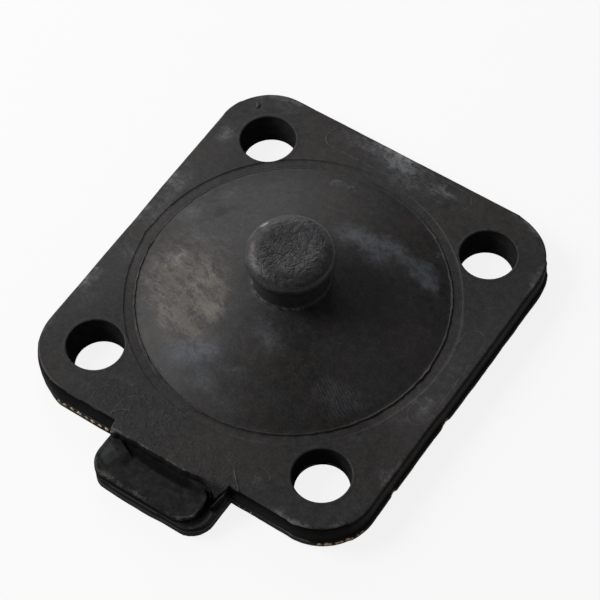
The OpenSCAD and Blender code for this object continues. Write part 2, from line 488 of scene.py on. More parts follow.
def lip_point(point):
    """Raise or sink the lip by its angle, and let it follow the line."""
    rise = along(LIP_HEIGHT, angle_of(point)) * (1 + 0.6 * wander((point.x, point.y, 0), 3, 13))
    height = point.z if point.z < TOP else TOP - 0.02 + (point.z - TOP + 0.01) * max(rise, 0)
    return push_out(Vector((point.x, point.y, height)), ring_shift(point)) + RING_CENTRE


shape_points(lip, lip_point)
combine(moulding, lip, "UNION")
combine(moulding, recess, "DIFFERENCE")
report(moulding)

# %% [markdown]
# ## Dome and button
# The dome, its fin and the button come from one turned cavity, so they are one half section
# spun round the axis. The section is a list of radii and heights: the fin that squeezed out
# between two mould halves, the long arc of the dome, the collar, the neck, and the round
# head. The points are close together on the head, because its skin is wrinkled.

# %% Half section of the dome and the button
def dome_arc(count):
    """Points of the long arc from the fin to the collar."""
    run = DOME_EDGE_R - DOME_FOOT_R
    chord = math.hypot(run, DOME_RISE)
    reach = math.sqrt(DOME_ARC_R ** 2 - (chord / 2) ** 2)
    middle_r = (DOME_EDGE_R + DOME_FOOT_R) / 2 - reach * DOME_RISE / chord
    middle_z = TOP + DOME_RISE / 2 - reach * run / chord
    points = []
    for step in range(count + 1):
        radius = DOME_EDGE_R - run * step / count
        points.append((radius, middle_z + math.sqrt(DOME_ARC_R ** 2 - (radius - middle_r) ** 2)))
    return points


FIN = [
    (DOME_R, 3.2), (DOME_R + 0.34, RING_FLOOR - 0.05), (DOME_R + 0.16, RING_FLOOR + 0.05),
    (DOME_R + 0.06, TOP - 0.03), (DOME_R + 0.03, TOP + 0.14), (DOME_R - 0.04, TOP + 0.2),
    (DOME_R - 0.12, TOP + 0.19), (DOME_R - 0.2, TOP + 0.08)]
BUTTON = [
    (6.66, 11.6), (6.6, 11.74), (6.42, 11.86), (6.33, 12.25), (6.26, 13.6), (6.28, 14.9),
    (6.4, 15.7), (6.72, 16.15), (7.15, 16.55), (7.4, 17.1), (7.47, 17.7), (7.38, 18.3),
    (7.1, 18.85), (6.65, 19.28), (6.05, 19.6), (5.4, 19.8), (4.6, 19.89), (3.6, 19.88),
    (2.4, 19.83), (1.2, 19.8), (0, 19.79)]
HEAD_START = 12
section = [(0, 3.2)] + FIN + dome_arc(34) + rounded(BUTTON[:HEAD_START + 1], 0.3)[:-1]
section += rounded(BUTTON[HEAD_START:], 0.1)
centre = spun("centre", section, RING_STEPS)
report(centre)

# %% [markdown]
# The mould left its own history on these turned forms. The fin stands tall and ragged on one
# side and is worn away on the other. The head leans a few degrees, sinks a little in the
# middle, and its top skin is wrinkled where the last rubber flowed together. Each is a small
# move of the points, as a function of where they are, with seeded noise for what is uneven.

# %% Fin, lean and wrinkles
FIN_HEIGHT = [
    (-15, 0.6), (0, 0.7), (20, 0.9), (24, 0.55), (32, 0.9), (44, 0.35), (56, 0.4), (60, 0.8),
    (68, 0.1), (74, 0.3), (80, 0.25), (120, 0.1), (180, 0.3), (192, 0.9), (270, 0.7), (290, 0.45),
    (330, 0.5), (346, 0.6)]
CREASE_ANGLE = math.radians(-64)
CREASE_R = 5.85
COLLAR_LOW = 11.55


def fin_point(point):
    """Let the fin wander in height and width."""
    flat = Vector((point.x, point.y, 0))
    rough = 0.5 * wander(flat, 2.6, 21) + 0.5 * wander(flat, 0.9, 22)
    nick = blend(wander(flat, 0.7, 26), -0.5, -0.2)
    tall = along(FIN_HEIGHT, angle_of(point)) * (1 + 0.9 * rough) * (0.3 + 0.7 * nick)
    foot = TOP + 0.02
    if point.z > foot and flat.length > DOME_R - 0.25:
        point.z = foot + (point.z - foot) * max(tall, 0.05)
        point = push_out(point, 0.18 * rough + 0.16 * wander(flat, 0.7, 23))
    return push_out(point, 0.04 * wander(flat, 8, 24))


def wrinkle(point):
    """Depth of the creased skin, narrow valleys between soft cushions."""
    warp = Vector((wander(point, 1.3, 31), wander(point, 1.3, 32), 0)) * 0.8
    depth = 0.0
    for size, deep in ((0.95, 0.048), (0.55, 0.032)):
        near = noise.voronoi(Vector((point.x + warp.x, point.y + warp.y, 0)) / size)[0]
        depth += deep * (1 - blend(near[1] - near[0], 0, 0.24))
    return -depth + 0.02 * wander(point, 0.8, 33)


def button_point(point):
    """Lean the button, sink and wrinkle its top, and crease its front edge."""
    flat = Vector((point.x, point.y, 0))
    radius = flat.length
    top_skin = blend(point.z, 18.0, 19.5)
    if top_skin > 0:
        sink = 0.12 * (1 - blend(radius, 1.5, 5.2))
        patchy = min(max(0.8 + 0.7 * wander(point, 3.0, 34), 0.35), 1.2)
        point.z += top_skin * (patchy * wrinkle(point) - sink)
        angle = math.atan2(flat.y, flat.x)
        off = abs((angle - CREASE_ANGLE + math.pi) % (2 * math.pi) - math.pi)
        from_line = abs(radius - CREASE_R - 0.06 * wander(flat, 1.0, 35))
        crease = (1 - blend(off, 0.12, 0.34)) * (1 - blend(from_line, 0.03, 0.22))
        point.z -= 0.09 * crease
    if point.z > 12.2:
        point = push_out(point, 0.035 * wander(point, 2.4, 36) + 0.012 * wander(point, 0.5, 37))
    elif point.z > COLLAR_LOW and radius > 6.2:
        rough = 0.5 * wander(flat, 1.8, 38) + 0.5 * wander(flat, 0.6, 39)
        point = push_out(point, 0.12 * rough + 0.02)
    return point + BUTTON_LEAN * max(point.z - 11.5, 0)


def centre_point(point):
    """Shape one point of the turned middle."""
    radius = math.hypot(point.x, point.y)
    # The rings and the button have their own centres, and the dome runs between the two.
    shift = RING_CENTRE.lerp(BUTTON_CENTRE, 1 - blend(radius, 9, 22))
    if radius > 24:
        return fin_point(point) + shift
    if radius < 7.8 and point.z > 11.4:
        return button_point(point) + shift
    if point.z > TOP:
        point.z += 0.05 * wander((point.x, point.y, 0), 7, 25) * blend(radius, 7, 9)
    return point + shift


shape_points(centre, centre_point)
combine(moulding, centre, "UNION")
report(moulding)

# %% [markdown]
# ## The hollow and its bead
# Under the dome the rubber is hollowed, and a low bead crosses the hollow to press on the
# weir of the valve. The photograph doesn't show this side, so it stays as plain as such
# diaphragms are. The cutter is a spun cap, cut into strips beside the bead and pushed down
# along them, so that the bead it leaves has soft sides.

# %% Hollow
BALL_R = (HOLLOW_R ** 2 + HOLLOW_DEPTH ** 2) / (2 * HOLLOW_DEPTH)
CAP_STEPS = 30
BEAD_STRIPS = (0.7, 1.0, 1.3, 1.6, 1.9, 2.2)
cap_section = [(0, -2), (HOLLOW_R, -2), (HOLLOW_R, -0.01)]
for step in range(CAP_STEPS + 1):
    radius = HOLLOW_R * (1 - step / CAP_STEPS)
    cap_section.append((radius, HOLLOW_DEPTH - BALL_R + math.sqrt(BALL_R ** 2 - radius ** 2)))
cap = spun("cap", cap_section, 160)
activate(cap, editing=True)
for half_width in BEAD_STRIPS:
    for side in (-1, 1):
        bpy.ops.mesh.select_all(action="SELECT")
        bpy.ops.mesh.bisect(plane_co=(side * half_width, 0, 0), plane_no=(1, 0, 0))


def bead_point(point):
    """Push the cap down where the bead stays."""
    lowered = BEAD_HEIGHT * (1 - blend(abs(point.x), BEAD_HALF - 0.9, BEAD_HALF + 0.6))
    if point.z > -0.5:
        point.z -= lowered
    return point


shape_points(cap, bead_point)
combine(moulding, cap, "DIFFERENCE")
report(moulding)

# %% [markdown]
# ## The grip tab
# The tab tells the fitter which way round the diaphragm goes and gives something to hold.
# It has three floors: a low shoulder, a round-ended pad on it, and the flange's own top
# running out over its back as a torn, uneven lip. Each floor is a simple block with beveled
# corners. Joined, they are remeshed finely and smoothed a little, because moulded rubber
# has a small round in every inner corner, which a bevel on crossing blocks can't give.

# %% Tab blocks
def block(name, low, high):
    """A box between two corners, open for editing."""
    start_clean()
    bpy.ops.mesh.primitive_cube_add(size=1, location=[(a + b) / 2 for a, b in zip(low, high)])
    piece = bpy.context.object
    piece.name = name
    piece.scale = [b - a for a, b in zip(low, high)]
    bpy.ops.object.transform_apply(location=True, scale=True)
    activate(piece, editing=True)
    return piece


def round_uprights(piece, test, radius, segments=16):
    """Round the upright edges that pass a test."""
    def upright(edge):
        return abs(edge.verts[0].co.z - edge.verts[1].co.z) > 0.5

    pick(piece, "edges", lambda middle, edge: upright(edge) and test(middle))
    bpy.ops.mesh.bevel(offset=radius, segments=segments, affect="EDGES")


def soften_top(piece, height, radius, segments=3):
    """Round the edges of the upper face."""
    pick(piece, "edges", lambda middle, edge: all(
        abs(point.co.z - height) < TOUCHING for point in edge.verts))
    bpy.ops.mesh.bevel(offset=radius, segments=segments, affect="EDGES")


def slab_from_outline(name, outline, low, high):
    """Stand a slab on an outline, from a circle whose points are laid along it."""
    start_clean()
    bpy.ops.mesh.primitive_circle_add(vertices=len(outline), fill_type="NGON", location=(0, 0, 0))
    piece = bpy.context.object
    piece.name = name
    for point, (x, y) in zip(piece.data.vertices, outline):
        point.co = (x, y, low)
    activate(piece, editing=True)
    bpy.ops.mesh.select_all(action="SELECT")
    bpy.ops.mesh.extrude_region_move(TRANSFORM_OT_translate={"value": (0, 0, high - low)})
    bpy.ops.mesh.select_all(action="SELECT")
    bpy.ops.mesh.normals_make_consistent(inside=False)
    return piece


start_clean()
TAB_BACK = -32.5
tab = block("tab", (0.3 - TAB_HALF, TAB_FRONT, 0), (TAB_HALF, TAB_BACK, SHOULDER))
round_uprights(tab, lambda middle: middle.y < -40, TAB_CORNER_R)
soften_top(tab, SHOULDER, 0.35)
pad = block("pad", (-10.9, -43.28, 0.6), (9.4, -35.6, PAD_TOP))
round_uprights(pad, lambda middle: middle.x > 0, 3.55, 20)
round_uprights(pad, lambda middle: middle.x < 0 and middle.y < -40, 3.7, 16)
soften_top(pad, PAD_TOP, 0.2, 2)
start_clean()

# %% The torn lip over the pad
LIP_LINE = [
    (-11.1, -33.2), (-11.05, -35.2), (-10.6, -36.45), (-9.9, -36.7), (-9.2, -36.3),
    (-7.95, -36.25), (-6, -36.05), (-4.1, -36.1), (-1.8, -36.02), (0.55, -36.05), (2.9, -36.05),
    (5.0, -35.85), (6.15, -35.6), (7.4, -35.72), (8.72, -36.35), (9.65, -37.35), (10.2, -38.3),
    (10.62, -38.5), (10.75, -37.6), (10.95, -36.2), (11.15, -34.8), (11.2, -33.2)]


def torn(x, y):
    """Shake a place on the outline of the lip, mostly along its free edge."""
    flat = (x, y, 0)
    tear = 0.1 * wander(flat, 1.1, 42) + 0.06 * wander(flat, 0.4, 43)
    return x + 0.05 * wander(flat, 0.5, 41), y + tear * (y < -35)


lip_outline = [torn(x, y) for x, y in rounded(LIP_LINE, 0.16)]
lip_outline += [(11.2, -32.6), (-11.1, -32.6)]
tongue = slab_from_outline("tongue", lip_outline, 0.8, TOP + 0.02)
start_clean()
combine(tab, pad, "UNION")
combine(tab, tongue, "UNION")
report(tab)

# %% Tab skin
LIP_LOW = 4.2
PAD_LOW = 2.9
SIDE_HIGH = 2.3


def tab_point(point):
    """Droop the end of the lip, raise the pad's worn ridge and let every face wander."""
    x, y, z = point
    flat = (x, y, 0)
    if z > LIP_LOW:
        # The lip sags along its edge, and its right end droops far down.
        droop = 0.22 * blend(-y, 34.5, 36.4)
        droop += 1.6 * blend(-y, 34.3, 38.6) * blend(x, 5.2, 10.2)
        low = min(z - LIP_LOW, 0.6) / 0.6
        point += Vector((-0.38, 0.55, -1)) * droop * low
        point.z += 0.03 * wander((x, y / 3, 0), 1.1, 51) * low * blend(-y, 34.3, 34.9)
    elif z > PAD_LOW:
        # The pad has a facet at its left end, a worn ridge on its rim and a soft hollow behind.
        fold = (x + 9.3) * 0.417 + (y + 35.9) * 0.909
        facet = (1 - blend(fold, -0.25, 0.05)) * blend(-x, 4.4, 6.6) * blend(y, -41.2, -38.6)
        edge = abs(inside_pad(point) - 0.4)
        ridge = 0.13 * (1 - blend(edge, 0.05, 0.4)) * (1 + wander(flat, 1.2, 52)) * (y < -37)
        hollow = 0.25 * (1 - min(facet, 1)) * blend(y, -39.5, -36.8) * (x < 8.5)
        across = (x + 10.9) * 0.91 - (y + 38.4) * 0.42
        facet *= 0.1 + along([(0, 0), (2.2, 0.5), (4.6, 0.25), (5.4, 0)], across)
        uneven = (0.045, 1.6, 53), (0.02, 0.6, 55)
        point.z += facet + ridge - hollow + sum(
            high * wander(flat, size, seed) for high, size, seed in uneven)
    elif z > SIDE_HIGH - 0.1:
        # A groove runs on the shoulder round the right end of the pad.
        from_line = abs(math.hypot(x - 5.9, y + 39.7) - 4.35)
        point.z -= 0.25 * (1 - blend(from_line, 0.15, 0.45)) * (x > 5)
    if z < SIDE_HIGH:
        # The side has the parting step, and isn't quite straight along its front.
        step = 0.13 * (1 - blend(z, 1.25, 1.55))
        point += outward_of_tab(point) * (step + 0.05 * wander((x, y, z), 2.2, 54) - 0.08)
        if y < -40:
            point.y -= 0.2 * blend(x, -9, -3) * (1 - blend(x, 0, 6))
            point.x += 0.22 * (1 - blend(x, -10, -8.2))
    return point


def inside_pad(point):
    """How far a point is inside the outline of the pad."""
    x = min(max(point.x, -7.2), 5.85)
    y = max(point.y, -39.7)
    return 3.6 - math.dist((x, y), point.xy)


def outward_of_tab(point):
    """Direction out through the side of the tab, or nothing inside it."""
    core_x = min(max(point.x, TAB_CORNER_R - TAB_HALF), TAB_HALF - TAB_CORNER_R)
    core_y = max(point.y, TAB_FRONT + TAB_CORNER_R)
    away = Vector((point.x - core_x, point.y - core_y, 0))
    return away.normalized() if away.length > 0.8 * TAB_CORNER_R else Vector((0, 0, 0))


# %% Remesh, shape and join the tab
apply_modifier(tab, "REMESH", mode="VOXEL", voxel_size=0.17)
apply_modifier(tab, "SMOOTH", factor=0.5, iterations=3)
shape_points(tab, tab_point)
apply_modifier(tab, "DECIMATE", ratio=0.42)
report(tab)
combine(moulding, tab, "UNION")
report(moulding)

# %% [markdown]
# ## Bolt holes
# The pins that form the holes leave a straight bore with a round upper edge. The ply comes
# through at the bore as a thin broken line near the wet face, so the bore is a touch wider
# there in places.

# %% Bolt holes
PIN_SECTION = [
    (0, -1), (BOLT_R + 0.12, -1), (BOLT_R + 0.12, 0.02), (BOLT_R + 0.03, 0.12),
    (BOLT_R - 0.02, 0.26), (BOLT_R - 0.02, 0.56), (BOLT_R - 0.02, 0.6), (BOLT_R - 0.02, 0.86),
    (BOLT_R - 0.02, 0.92), (BOLT_R - 0.03, 1.8), (BOLT_R - 0.03, 3.2), (BOLT_R - 0.02, 4.7),
    (BOLT_R, 4.95), (BOLT_R + 0.05, 5.12), (BOLT_R + 0.14, 5.21), (BOLT_R + 0.4, 5.27),
    (BOLT_R + 0.4, 7), (0, 7)]
PLY_BAND = (0.59, 0.87)
BORE_MOUTH = 4.9
BORE_LEAN = [(0.97, -0.25, 4.5), (0.84, -0.79, 4.75), (-0.18, 0.2, 4.5), (0.16, -0.76, 4.55)]


def pin_point(point, place, lean, seed):
    """Widen the bore where the ply shows, lean its outer side in, and set it at its hole.

    The lean is where the foot of the bore lies off its mouth, and the radius of the foot.
    """
    if PLY_BAND[0] < point.z < PLY_BAND[1] and point.xy.length > 1:
        point = push_out(point, 0.14 * blend(wander((point.x, point.y, 0), 2.2, seed), -0.1, 0.25))
    point = push_out(point, 0.02 * wander((point.x, point.y, 0), 3, seed + 1))
    if point.z < BORE_MOUTH and point.xy.length > 1:
        shift_x, shift_y, foot_r = lean
        way = point.xy.normalized()
        middle = Vector((shift_x, shift_y))
        offset = middle.dot(way)
        foot = offset + math.sqrt(foot_r ** 2 - middle.length_squared + offset ** 2)
        deep = 1 - max(point.z, 0) / BORE_MOUTH
        point = push_out(point, min(foot - BOLT_R, 0) * deep)
    return point + place


for number, place in enumerate(HOLES):
    pin = spun("pin", PIN_SECTION, 96)
    shape_points(pin, lambda p: pin_point(p, place, BORE_LEAN[number], 80 + number))
    combine(moulding, pin, "DIFFERENCE")
report(moulding)

# %% [markdown]
# ## Finish the moulding
# The long flat faces are cut into triangles and the whole is shaded smooth. Smooth shading
# would bend the light on a flat face wherever a tiny ridge touches it, so the normals are
# set one by one: a point that touches a flat face keeps that face's own direction.

# %% Normals of flat faces
def keep_flats_flat(piece, limit):
    """Shade a piece smooth, but give each point of a level face that face's own normal."""
    mesh = piece.data
    flat = [abs(face.normal.z) > 0.99995 for face in mesh.polygons]
    smooth = [Vector((0, 0, 0)) for _ in mesh.vertices]
    level = [None] * len(mesh.vertices)
    for face in mesh.polygons:
        for corner in face.vertices:
            smooth[corner] += face.normal * face.area
            if flat[face.index]:
                level[corner] = face.normal.copy()
    normals = [None] * len(mesh.loops)
    for face in mesh.polygons:
        for loop in face.loop_indices:
            corner = mesh.loops[loop].vertex_index
            choice = level[corner] or smooth[corner].normalized()
            normals[loop] = choice if choice.dot(face.normal) >= limit else face.normal
    mesh.normals_split_custom_set(normals)


# %% Finish the moulding
SHARP = math.radians(38)
activate(moulding, editing=True)
bpy.ops.mesh.select_all(action="SELECT")
bpy.ops.mesh.remove_doubles(threshold=0.002)
bpy.ops.mesh.quads_convert_to_tris(quad_method="BEAUTY", ngon_method="BEAUTY")
start_clean()
activate(moulding)
bpy.ops.object.shade_smooth()
keep_flats_flat(moulding, math.cos(SHARP))
moulding.scale = (MM, MM, MM)
bpy.ops.object.transform_apply(scale=True)
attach(moulding, "root")
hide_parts("rubber_body")
report(moulding)

# %% [markdown]
# ## Materials
# A material is a small tree of nodes. Patterns read the object's own coordinates, turned to
# millimetres, so that each pattern's size is a real size. One helper adds a node with its
# settings and its links, and one turns a written colour to the linear one that shaders use.

# %% Node helpers
SOFT_STEP = {"interpolation_type": "SMOOTHSTEP"}
ALL_HEIGHTS = 1000


def add(kind, *values, **settings):
    """Add a node to the open tree, with its settings and links.

    Values fill the node's inputs in order. Settings are inputs, with a capital, or properties.
    A kind in capitals is an operation of a Math node. A node that is given as a value is
    linked by its first output.
    """
    if kind.isupper():
        kind, settings = "Math", {"operation": kind}
    node = tree.nodes.new("ShaderNode" + kind)
    for name in [name for name in settings if name[0].islower()]:
        setattr(node, name, settings.pop(name))
    filled = list(zip([place for place in node.inputs if place.enabled], values))
    filled += [(node.inputs[name.replace("_", " ")], value) for name, value in settings.items()]
    for place, value in filled:
        if isinstance(value, bpy.types.Node):
            value = [output for output in value.outputs if output.enabled][0]
        if isinstance(value, bpy.types.NodeSocket):
            tree.links.new(value, place)
        else:
            place.default_value = value
    return node


def linear(written):
    """Turn a written sRGB colour into linear red, green, blue and alpha."""
    parts = [int(written[i:i + 2], 16) / 255 for i in (1, 3, 5)]
    return [p / 12.92 if p <= 0.04045 else ((p + 0.055) / 1.055) ** 2.4 for p in parts] + [1]


def start_material(name):
    """Open the tree of a new material, and give the object's coordinates in millimetres."""
    global tree
    material = bpy.data.materials.new(name)
    material.use_nodes = True
    tree = material.node_tree
    tree.nodes.clear()
    return material, add("VectorMath", add("TexCoord").outputs["Object"], 1 / MM, operation="SCALE")


# %% [markdown]
# Wear and dirt are mixtures of patterns, so a few recipes stand on that helper. A layer of
# colour lies where all its factors are strong. A relief is a sum of heaps. Stains are soft
# ovals laid where the photograph shows dust or bloom, and strokes are noise drawn out long.

# %% Recipes for wear and dirt
def product(*factors):
    """Multiply factors: nodes, or soft steps as (pattern, none here, full here, strength)."""
    total = None
    for factor in factors:
        if isinstance(factor, tuple):
            pattern, none, full, *strength = factor
            factor = add("MapRange", pattern, none, full, 0, *(strength or [1]), **SOFT_STEP)
        total = factor if total is None else add("MULTIPLY", total, factor)
    return total


def heaped(start, *heaps):
    """Add heaps to a start, each a weight and the factors that it multiplies."""
    total = start
    for weight, *factors in heaps:
        total = add("MULTIPLY_ADD", product(*factors), weight, total)
    return total


def painted(under, *layers):
    """Lay written colours over each other, each by the product of its factors."""
    for written, *factors in layers:
        under = add("Mix", product(*factors), under, linear(written), data_type="RGBA")
    return under


def stains(where, rows):
    """Sum of soft ovals, each x, y, half length, half width, angle and strength."""
    total = 0.0
    for x, y, long, wide, angle, strength in rows:
        oval = add("Mapping", where, (x, y, 0), (0, 0, math.radians(angle)),
                   (long, wide, ALL_HEIGHTS), vector_type="TEXTURE")
        fade = add("TexGradient", oval, gradient_type="SPHERICAL").outputs["Fac"]
        total = add("MULTIPLY_ADD", fade, strength, total)
    return total


def stroked(where, angle, long, wide, detail=3, rough=0.7):
    """Noise drawn out into strokes, long by wide millimetres, along an angle."""
    drawn = add("Mapping", where, Rotation=(0, 0, math.radians(angle)), Scale=(long, wide, long),
                vector_type="TEXTURE")
    return add("TexNoise", drawn, 1, detail, rough)


def close_material(tone, relief, roughness, specular, strength=1.0, sheen=0.0):
    """End the open tree: a colour, a relief in millimetres and a gloss."""
    bump = add("Bump", strength, MM, Height=relief)
    skin = add("BsdfPrincipled", tone, Roughness=roughness, Normal=bump,
               Specular_IOR_Level=specular, Sheen_Weight=sheen)
    add("OutputMaterial", skin)


# %% [markdown]
# ## Black rubber, upper side
# The moulding is black nitrile or butyl rubber, cured in a blasted steel mould: carbon black
# makes it almost black and the blasted mould makes it matt. Years on a shelf and in a valve
# gave it a skin of its own. Wax and antioxidant came out as a blue-white bloom, mostly along
# two edges, dust settled on the low side of the dome and was wiped off in strokes, handling
# left hazy patches, and thin edges rubbed pale. Each of these is a group of soft ovals with
# ragged edges, broken up by fine noise. The grain is really a twentieth of a millimetre, and
# is drawn four times as coarse so that it shows.

# %% Where the skin is stained
BLOOM = [
    (-1.5, 33.0, 8.5, 2.6, 0, 1.0), (0.5, 32.8, 4.0, 1.5, 5, 0.8), (9.5, 32.0, 5.5, 2.2, 0, 0.75),
    (2.5, 30.0, 10.5, 3.0, 3, 0.55), (-9.5, 32.5, 6.0, 2.2, 0, 0.5),
    (-23.5, 33.0, 5.0, 2.4, 0, 0.5), (-27.5, 30.5, 4.0, 3.5, 0, 0.3),
    (-28.8, 22.0, 2.6, 3.2, 20, 0.8), (-19.6, 21.4, 1.6, 2.4, 0, 0.3),
    (-29.6, 9.0, 2.8, 6.0, 0, 0.8), (-29.4, 1.2, 3.0, 5.0, 0, 0.7),
    (-28.6, -7.2, 3.4, 3.4, 0, 0.55), (-30.4, -14.8, 1.6, 5.0, -8, 0.8),
    (-29.2, -19.5, 1.2, 4.0, -10, 0.45), (-30.5, -25.5, 2.4, 4.0, 0, 0.35),
    (24.5, 33.4, 8.0, 1.6, 0, 0.35), (30.8, 27.0, 2.0, 4.5, 0, 0.25),
    (31.4, 23.5, 1.4, 3.0, 0, 0.25), (22.1, -34.0, 6.0, 1.4, 0, 0.7),
    (29.4, -31.4, 2.6, 2.6, 0, 0.4), (14.0, -31.1, 2.2, 2.2, 0, 0.45),
    (-5.0, -29.9, 4.0, 1.6, 0, 0.35), (29.3, -5.4, 2.5, 5.0, 0, 0.75),
    (27.6, -9.9, 2.4, 1.2, 20, 0.5), (29.2, 4.0, 1.9, 7.0, 0, 0.35),
    (30.6, -19.0, 1.2, 4.5, 0, 0.45), (23.0, -16.5, 3.0, 1.2, 40, 0.35)]
HAZE = [
    (3.4, 13.8, 5.4, 3.6, 15, 1.1), (9.4, 15.4, 4.6, 3.4, 10, 1.1),
    (8.4, 11.9, 5.0, 2.6, -15, 0.9), (15.6, 14.6, 4.4, 3.6, 0, 1.2),
    (18.6, 13.4, 2.6, 2.0, -30, 0.8), (-7.0, 22.6, 1.6, 1.2, 0, 0.9),
    (-4.2, 23.2, 2.6, 0.7, 0, 0.75), (-2.7, 17.0, 3.0, 0.6, 10, 0.5),
    (15.4, 20.3, 0.7, 0.35, 0, 1.0), (-23.8, 4.8, 3.4, 4.2, -25, 0.75),
    (-20.6, 11.0, 3.0, 2.0, 35, 0.6), (-20.0, -5.2, 2.4, 2.6, 0, 0.9),
    (-19.0, 1.0, 4.5, 3.0, 0, 0.45), (-8.4, -19.0, 5.6, 3.4, 15, 1.0),
    (-5.0, -16.6, 4.2, 3.2, 0, 0.8), (-3.0, -21.5, 4.0, 2.8, 0, 0.7),
    (0.8, -17.9, 3.6, 1.6, 25, 0.5), (2.4, -10.8, 5.4, 3.2, -25, 0.75),
    (10.5, -18.0, 7.5, 3.6, 15, 0.22), (2.0, -22.5, 6.0, 2.2, 0, 0.35),
    (16.0, -13.0, 6.5, 4.0, 40, 0.35), (21.5, -9.0, 5.0, 4.0, 50, 0.22)]
DUST = [
    (-17.0, -5.0, 15.0, 11.5, -20, 0.75), (-12.5, -12.0, 13.0, 9.5, -25, 0.65),
    (-10.1, -14.9, 2.8, 2.0, -20, 0.5), (-13.5, -9.0, 3.2, 1.0, -12, 0.6),
    (-14.0, -5.6, 5.2, 0.7, -12, 0.8), (-9.0, -10.9, 3.2, 2.6, 0, 0.5),
    (-15.4, -14.5, 5.0, 2.6, -25, 0.7), (-8.4, -11.3, 3.6, 2.6, 0, 0.7),
    (-19.5, -4.4, 3.0, 2.0, -40, 0.6), (-10.8, -7.2, 4.0, 2.4, -20, 0.45),
    (-21.5, -9.5, 3.6, 6.0, 20, 0.4), (-9.0, -16.5, 4.6, 3.0, 0, 0.4),
    (-14.1, -27.6, 3.0, 1.6, 20, 0.4), (-18.0, -22.0, 9.0, 5.0, 30, 0.2),
    (-12.5, 17.0, 6.0, 3.0, 30, 0.25), (6.0, -29.0, 9.0, 3.0, 0, 0.2)]
DARK = [
    (-18.9, 6.8, 2.6, 1.4, 45, 1.0), (-12.8, -4.8, 1.6, 0.8, 0, 0.5),
    (-6.5, -4.0, 2.5, 4.0, 20, 0.6)]
print(len(BLOOM) + len(HAZE) + len(DUST) + len(DARK), "stains")

# %% [markdown]
# The patterns come first, each from its size in millimetres. What follows the clamped ring
# reads the distance from its centre. What follows the rim reads how far a place lies out
# from the core of the flange, whose corners are the middles of the round ones.

# %% Patterns of the upper side
upper_rubber, mm = start_material("black_nitrile_rubber_aged")
axes = add("SeparateXYZ", mm).outputs
height = axes["Z"]
grain, mottle, flecks, cloud, sand, warmth = [
    add("TexNoise", mm, 1 / size, detail, rough) for size, detail, rough in (
        (0.22, 2, 0.6), (1.3, 6, 0.7), (0.5, 4, 0.8), (6.5, 3, 0.6), (0.2, 2, 0.7), (11, 3, 0.6))]
broken = heaped(0, (0.9, mottle), (0.9, flecks))

# The same coordinates shaken strongly, for ragged stains, and a little, for swaying strokes.
shake = add("VectorMath", add("TexNoise", mm, 0.45, 5, 0.65).outputs["Color"], (0.5, 0.5, 0.5),
            operation="SUBTRACT")
ragged, swayed = [add("VectorMath", shake, (far, far, 0), mm, operation="MULTIPLY_ADD")
                  for far in (4.5, 1.2)]
scuffs = stroked(ragged, -13, 6.0, 0.2, 3, 0.75)
strokes = stroked(ragged, -14, 3.2, 0.3, 3, 0.75)
long_scuffs = stroked(swayed, -14, 5.0, 0.24)
down_scuffs = stroked(swayed, -72, 4.5, 0.2)
cross_scuffs = stroked(mm, 62, 4.0, 0.16, 2)
flakes = stroked(swayed, -16, 3.2, 1.2, 6, 0.75)

ring_axes = add("SeparateXYZ", add("VectorMath", mm, RING_CENTRE, operation="SUBTRACT")).outputs
radius = add("VectorMath", add("CombineXYZ", ring_axes["X"], ring_axes["Y"]), operation="LENGTH")
bearing = add("ARCTAN2", ring_axes["Y"], ring_axes["X"])
polar = add("CombineXYZ", add("MULTIPLY", bearing, DOME_R), radius)
turned_marks = stroked(polar, 0, 0.35, 3.0)

across = add("VectorMath", mm, operation="ABSOLUTE")
corner = add("VectorMath", across, (HALF_X - CORNER_R, HALF_Y - CORNER_R, ALL_HEIGHTS),
             operation="SUBTRACT")
corner = add("VectorMath", corner, (0, 0, 0), operation="MAXIMUM")
reach = add("VectorMath", corner, operation="LENGTH")
from_hole = add("VectorMath", across, (BOLT_X, BOLT_Y, TOP), operation="DISTANCE")
from_tab = add("VectorMath", mm, (0, -HALF_Y, TOP), operation="DISTANCE")

# %% [markdown]
# Four kinds of deposit lie on the skin. Bloom and haze are wiped in strokes, dust is scuffed
# off in long streaks, and a thin film of it stays in flakes between them, scratched from
# three directions. Low on the right, a brush left a patch of fine parallel lines.

# %% Deposits on the skin
bloom_area, haze_area, dust_area = [stains(ragged, rows) for rows in (BLOOM, HAZE, DUST)]
bloom = product((product(bloom_area, heaped(-1.45, (1, broken), (2.4, strokes))), 0.03, 1.1, 0.27))
haze = product((product(haze_area, heaped(-0.95, (1, broken), (1.6, strokes))), 0.02, 1.0, 0.19))
streaks = heaped(-1.6, (1, broken), (2.4, scuffs), (0.5, cross_scuffs))
dust = product((product(dust_area, streaks), 0.45, 1.5, 0.17))
scratches = heaped(0, (0.6, (cross_scuffs, 0.6, 0.68)), (1, (long_scuffs, 0.58, 0.66)),
                   (0.7, (down_scuffs, 0.6, 0.68)))
scratched = heaped(0, (0.08, (dust_area, 0.1, 0.7)), (0.025, (broken, 0.8, 1.2)))

HATCH_PITCH = 0.5
hatch_area = stains(ragged, [(20.6, -13.6, 8.5, 6.0, -15, 1.3), (14.0, -12.0, 8.0, 6.0, 0, 0.7),
                             (-8.0, -17.0, 7.0, 5.0, 0, 0.5)])
hatch = product((product(hatch_area, heaped(-0.4, (1, broken), (1, strokes))), 0.4, 1.2),
                (radius, DOME_R - 0.9, DOME_R - 2.2))
combed = add("Mapping", swayed, Rotation=(0, 0, math.radians(60)), vector_type="TEXTURE")
combed = add("TexWave", combed, math.pi / (10 * HATCH_PITCH), 1.5, 2).outputs["Fac"]

